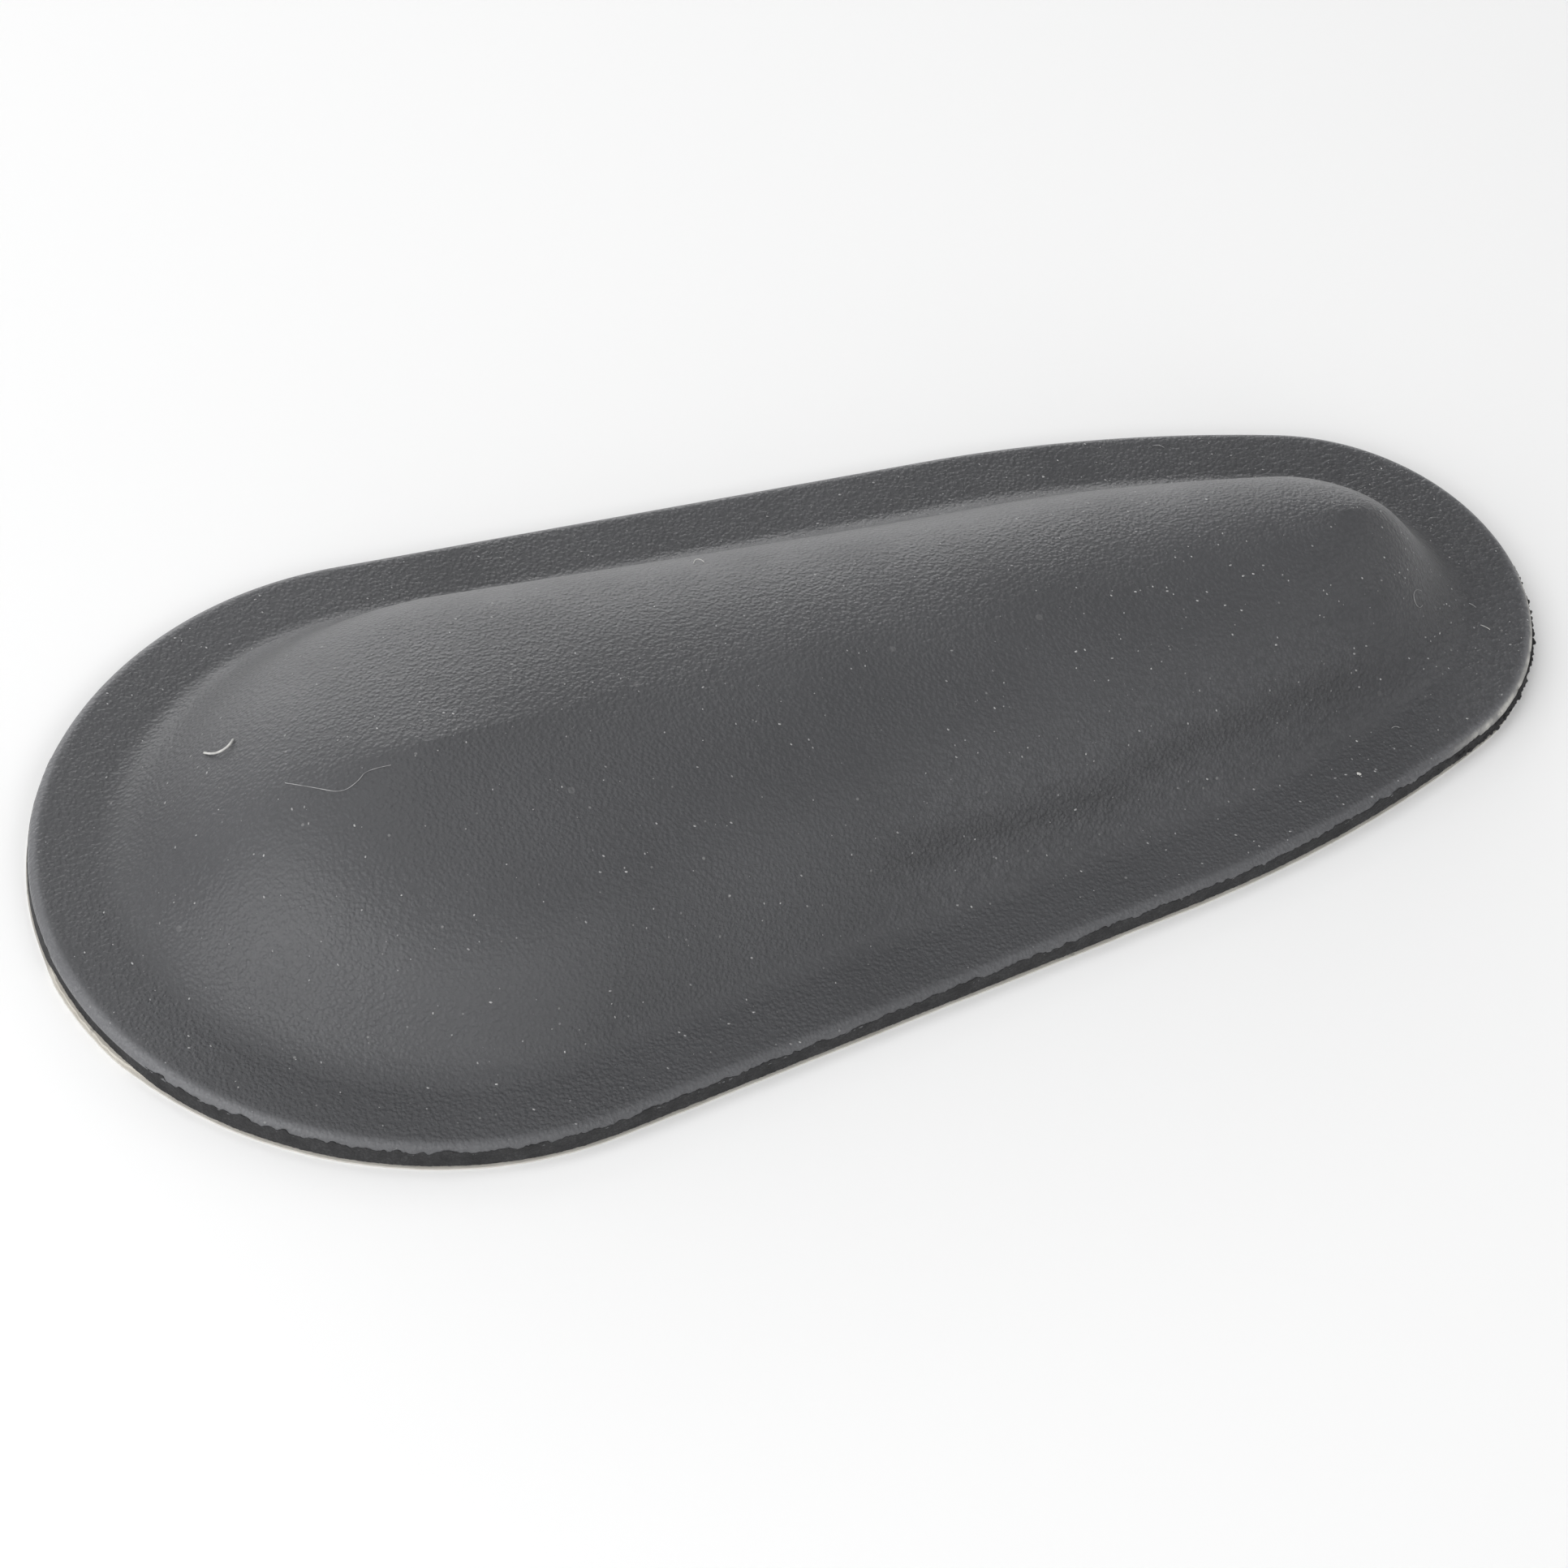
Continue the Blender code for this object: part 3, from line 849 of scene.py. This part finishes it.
    depth = calc(tree, "MULTIPLY_ADD", calc(tree, "MULTIPLY", dust.outputs[0], 0.6), 1.0, height)
    depth = calc(tree, "MULTIPLY_ADD", calc(tree, "MULTIPLY", grain.outputs[0], scuff), 0.9, depth)
    bump = tree.nodes.new("ShaderNodeBump")
    bump.inputs["Strength"].default_value = 1.0
    bump.inputs["Distance"].default_value = GRAIN_DEPTH
    wire(depth, bump.inputs["Height"])
    wire(bump.outputs[0], shader.inputs["Normal"])
    return material


def base_foam(groups):
    material, tree, shader = new_material("black_base_foam", 0.92)
    wire = tree.links.new
    place = object_place(tree)
    cells = use_group(tree, groups["grain"], Cells_per_Metre=3300.0)
    wire(place, cells.inputs["Vector"])
    tone = use_group(tree, groups["drift"], Clouds_per_Metre=500.0, Low=0.0, High=1.0)
    wire(place, tone.inputs["Vector"])
    # Lighter on the cell tops and darker in the cell hollows, painted light and shade, mixed with
    # random tone
    lit = calc(tree, "MULTIPLY", tone.outputs[0], cells.outputs[0])
    wire(mixed_colour(tree, lit, FOAM_DARK, FOAM_LIGHT), shader.inputs["Base Color"])
    bump = tree.nodes.new("ShaderNodeBump")
    bump.inputs["Distance"].default_value = 0.08 * MM
    wire(cells.outputs[0], bump.inputs["Height"])
    wire(bump.outputs[0], shader.inputs["Normal"])
    return material


def sheet_material(name, groups, light, dark, roughness, fleck):
    """Tape tissue or liner paper: a pale sheet with cloudy tone, grey flecks and a faint tooth."""
    material, tree, shader = new_material(name, roughness)
    wire = tree.links.new
    place = object_place(tree)
    tone = use_group(tree, groups["drift"], Clouds_per_Metre=220.0, Low=0.0, High=1.0)
    wire(place, tone.inputs["Vector"])
    colour = mixed_colour(tree, tone.outputs[0], dark, light)
    flecks = use_group(tree, groups["specks"], Cells_per_Metre=700.0, Size=0.25, Presence=fleck)
    wire(place, flecks.inputs["Vector"])
    fleck_share = calc(tree, "MULTIPLY", flecks.outputs[0], 0.5)
    colour = mixed_colour(tree, fleck_share, colour, SHEET_FLECK)
    wire(colour, shader.inputs["Base Color"])
    tooth = use_group(tree, groups["grain"], Cells_per_Metre=4200.0)
    wire(place, tooth.inputs["Vector"])
    bump = tree.nodes.new("ShaderNodeBump")
    bump.inputs["Distance"].default_value = 0.008 * MM
    wire(tooth.outputs[0], bump.inputs["Height"])
    wire(bump.outputs[0], shader.inputs["Normal"])
    return material


def lint(name, groups, light, dark):
    """Fibres and flecks: a matt colour that changes a little from place to place."""
    material, tree, shader = new_material(name, 0.8)
    place = object_place(tree)
    tone = use_group(tree, groups["drift"], Clouds_per_Metre=900.0, Low=0.0, High=1.0)
    tree.links.new(place, tone.inputs["Vector"])
    tree.links.new(mixed_colour(tree, tone.outputs[0], dark, light), shader.inputs["Base Color"])
    return material


def plain(name, colour, roughness):
    material, _, shader = new_material(name, roughness)
    shader.inputs["Base Color"].default_value = (*colour, 1.0)
    return material


def give(piece, material, slot, *nodes):
    """Gives a finished piece its material and its body, and hides the nodes it stands for. The slot
    is not used.
    """
    piece.data.materials.clear()
    piece.data.materials.append(material)
    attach(piece, "root")
    if nodes:
        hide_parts(*nodes)


# ---------------------------------------------------------------- studio


def add_camera():
    """A camera in front of the pad and to its left, rolled a little."""
    flat = math.cos(CAMERA_ELEVATION)
    side, front = math.sin(CAMERA_AZIMUTH) * flat, -math.cos(CAMERA_AZIMUTH) * flat
    back = Vector((side, front, math.sin(CAMERA_ELEVATION)))
    right = (-back).cross(Vector((0, 0, 1))).normalized()
    up = right.cross(-back)
    turned_right = math.cos(CAMERA_ROLL) * right + math.sin(CAMERA_ROLL) * up
    turned_up = math.cos(CAMERA_ROLL) * up - math.sin(CAMERA_ROLL) * right
    data = bpy.data.cameras.new("camera")
    data.sensor_width = CAMERA_SENSOR
    data.lens = CAMERA_LENS
    data.clip_start = 0.01
    data.clip_end = 20.0
    camera = bpy.data.objects.new("camera", data)
    matrix = Matrix((turned_right, turned_up, back)).transposed().to_4x4()
    matrix.translation = Vector(CAMERA_TARGET) + CAMERA_DISTANCE * back
    camera.matrix_world = matrix
    bpy.context.scene.collection.objects.link(camera)
    bpy.context.scene.camera = camera


def soft_box(name, azimuth, elevation, size, power):
    """A rectangular light that shines at the pad. Azimuth 0 is behind the pad, at +Y."""
    data = bpy.data.lights.new(name, "AREA")
    data.shape = "RECTANGLE"
    data.size, data.size_y = size
    data.energy = power
    light = bpy.data.objects.new(name, data)
    turn, lift = math.radians(azimuth), math.radians(elevation)
    flat = math.cos(lift)
    away = Vector((math.sin(turn) * flat, math.cos(turn) * flat, math.sin(lift)))
    light.location = away * LIGHT_DISTANCE
    light.rotation_euler = away.to_track_quat("Z", "Y").to_euler()
    bpy.context.scene.collection.objects.link(light)


def add_studio():
    world = bpy.data.worlds.new("studio")
    bpy.context.scene.world = world
    world.use_nodes = True
    sky = world.node_tree.nodes["Background"]
    sky.inputs["Color"].default_value = (1.0, 1.0, 1.0, 1.0)
    sky.inputs["Strength"].default_value = AMBIENT
    bpy.ops.mesh.primitive_plane_add(size=FLOOR_SIZE, location=(0.0, 0.0, -HAIRLINE))
    floor = bpy.context.object
    floor.name = "floor"
    floor.data.materials.append(plain("floor_white", FLOOR_WHITE, 0.8))
    for settings in SOFT_BOXES:
        soft_box(*settings)
    bpy.context.scene.view_settings.view_transform = "Standard"


# ---------------------------------------------------------------- main


def main():
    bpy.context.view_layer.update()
    low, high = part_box("cover_skin")
    tape_low, tape_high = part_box("adhesive_sheet")
    liner_low, liner_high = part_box("release_liner")
    outline = Outline(high.x - low.x, high.y - low.y)
    border_top = low.z + COVER_THICKNESS

    add_camera()
    add_studio()
    groups = {"grain": grain_group(), "specks": specks_group(), "drift": drift_group()}

    cover = make_cover(outline, low.z, border_top)
    give(cover, leatherette(groups), "grey_leatherette", "cover_skin", "foam_insert")

    base = make_torn_base(outline, tape_high.z + HAIRLINE, low.z - HAIRLINE)
    foam = base_foam(groups)
    give(base, foam, "black_base_foam", "base_sheet")

    tape_bottom = liner_high.z + HAIRLINE
    tape = make_sheet("tape_layer", outline, tape_bottom, tape_high.z, *TAPE_EDGE)
    tissue = sheet_material("double_sided_tape", groups, TAPE_LIGHT, TAPE_DARK, 0.5, 0.25)
    give(tape, tissue, "double_sided_tape", "adhesive_sheet")

    liner = make_sheet("liner_paper", outline, liner_low.z, liner_high.z, *LINER_EDGE)
    paper = sheet_material("release_liner_paper", groups, PAPER_LIGHT, PAPER_DARK, 0.42, 0.1)
    give(liner, paper, "release_liner_paper", "release_liner")

    tree = bits_tree()
    pale = lint("pale_lint", groups, LINT_LIGHT, LINT_DARK)
    grey = lint("grey_dust", groups, DUST_LIGHT, DUST_DARK)
    dust = scatter("dust_flecks", tree, cover, grey, DUST_FLECKS)
    give(dust, grey, "grey_leatherette")
    crumbs = scatter("torn_foam_crumbs", tree, base, foam, FOAM_CRUMBS)
    give(crumbs, foam, "black_base_foam")
    for number, (route, thickness) in enumerate(FIBRES, start=1):
        fibre = make_fibre("lint_fibre_%d" % number, cover, route, thickness * MM)
        give(fibre, pale if thickness > PALE_FIBRE_FROM else grey, "grey_leatherette")


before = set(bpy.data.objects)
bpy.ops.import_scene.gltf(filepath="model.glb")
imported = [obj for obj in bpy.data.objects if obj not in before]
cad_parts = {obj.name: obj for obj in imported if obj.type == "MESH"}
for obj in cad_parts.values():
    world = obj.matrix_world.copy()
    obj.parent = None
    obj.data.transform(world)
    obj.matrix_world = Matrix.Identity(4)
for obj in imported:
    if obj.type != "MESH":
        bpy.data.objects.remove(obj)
main()
